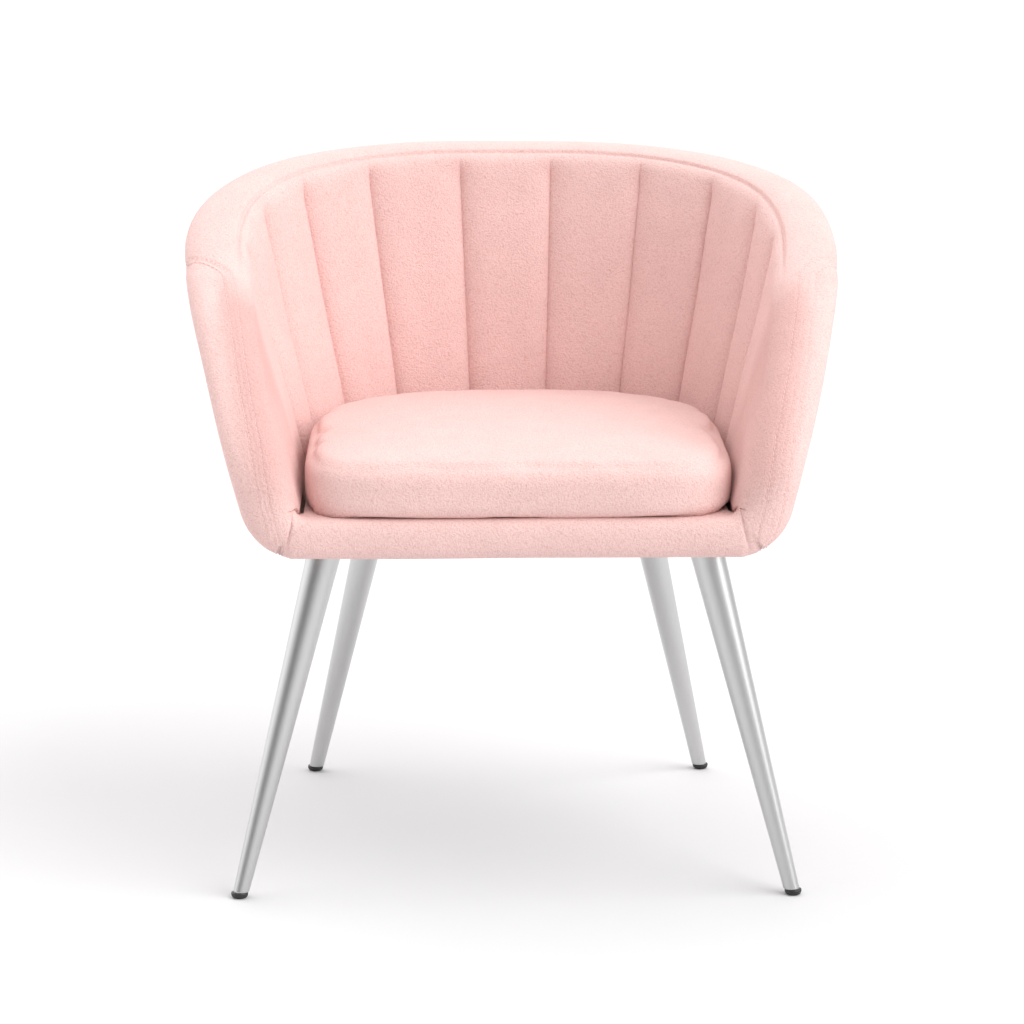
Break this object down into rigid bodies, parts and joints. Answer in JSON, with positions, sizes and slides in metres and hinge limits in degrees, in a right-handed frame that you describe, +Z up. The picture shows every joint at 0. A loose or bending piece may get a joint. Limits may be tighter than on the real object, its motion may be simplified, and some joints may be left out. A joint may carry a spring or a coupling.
{
  "type": "upholstered armchair",
  "caption": "Upholstered tub armchair with a channel-tufted inner back, rounded rim, loose waterfall seat cushion and splayed tapered steel legs on plastic glides.",
  "frame": {"origin": "on the floor, midway across the width and the depth of the chair", "axes": "+Z up, the sitter faces -Y, +X to the sitter's left"},
  "size_m": [0.6824, 0.5733, 0.71],
  "materials": {
    "boucle_fabric": "matte",
    "birch_plywood": "satin",
    "lining_board": "matte",
    "foam": "matte",
    "elastic_webbing": "matte",
    "dust_cloth": "matte",
    "satin_steel": "satin",
    "zinc_steel": "satin",
    "zip_metal": "satin",
    "glide_plastic": "satin"
  },
  "bodies": {
    "chair": {"seat_board": "birch_plywood", "back_upright_centre": "birch_plywood", "back_upright_left": "birch_plywood", "back_upright_right": "birch_plywood", "corner_upright_left": "birch_plywood", "corner_upright_right": "birch_plywood", "side_upright_left": "birch_plywood", "side_upright_right": "birch_plywood", "back_rail": "birch_plywood", "arm_rail_left": "birch_plywood", "arm_rail_right": "birch_plywood", "front_rail": "birch_plywood", "frame_screws": "zinc_steel", "outer_lining": "lining_board", "outer_foam": "foam", "outer_cover": "boucle_fabric", "back_support_webbing": "elastic_webbing", "inner_foam": "foam", "inner_cover": "boucle_fabric", "rim_foam": "foam", "rim_cover": "boucle_fabric", "front_rail_foam": "foam", "front_rail_cover": "boucle_fabric", "deck_foam": "foam", "deck_cover": "boucle_fabric", "dust_cover": "dust_cloth", "dust_cover_staples": "zinc_steel", "leg_bolts": "zinc_steel", "leg_t_nuts": "zinc_steel", "leg_front_left": "satin_steel", "leg_plate_front_left": "satin_steel", "glide_front_left": "glide_plastic", "leg_front_right": "satin_steel", "leg_plate_front_right": "satin_steel", "glide_front_right": "glide_plastic", "leg_rear_left": "satin_steel", "leg_plate_rear_left": "satin_steel", "glide_rear_left": "glide_plastic", "leg_rear_right": "satin_steel", "leg_plate_rear_right": "satin_steel", "glide_rear_right": "glide_plastic"},
    "seat_cushion": {"cushion_core": "foam", "cushion_wadding": "foam", "cushion_top_cover": "boucle_fabric", "cushion_side_band": "boucle_fabric", "cushion_bottom_cover": "boucle_fabric", "zip_tape": "boucle_fabric"},
    "zip_pull": {"zip_slider": "zip_metal"}
  },
  "joints": [
    {"name": "cushion_lift", "type": "slide", "parent": "chair", "child": "seat_cushion", "axis": [0, 0, 1], "range_m": [0, 0.36]},
    {"name": "zip_slide", "type": "slide", "parent": "seat_cushion", "child": "zip_pull", "axis": [1, 0, 0], "range_m": [0, 0.276]}
  ]
}
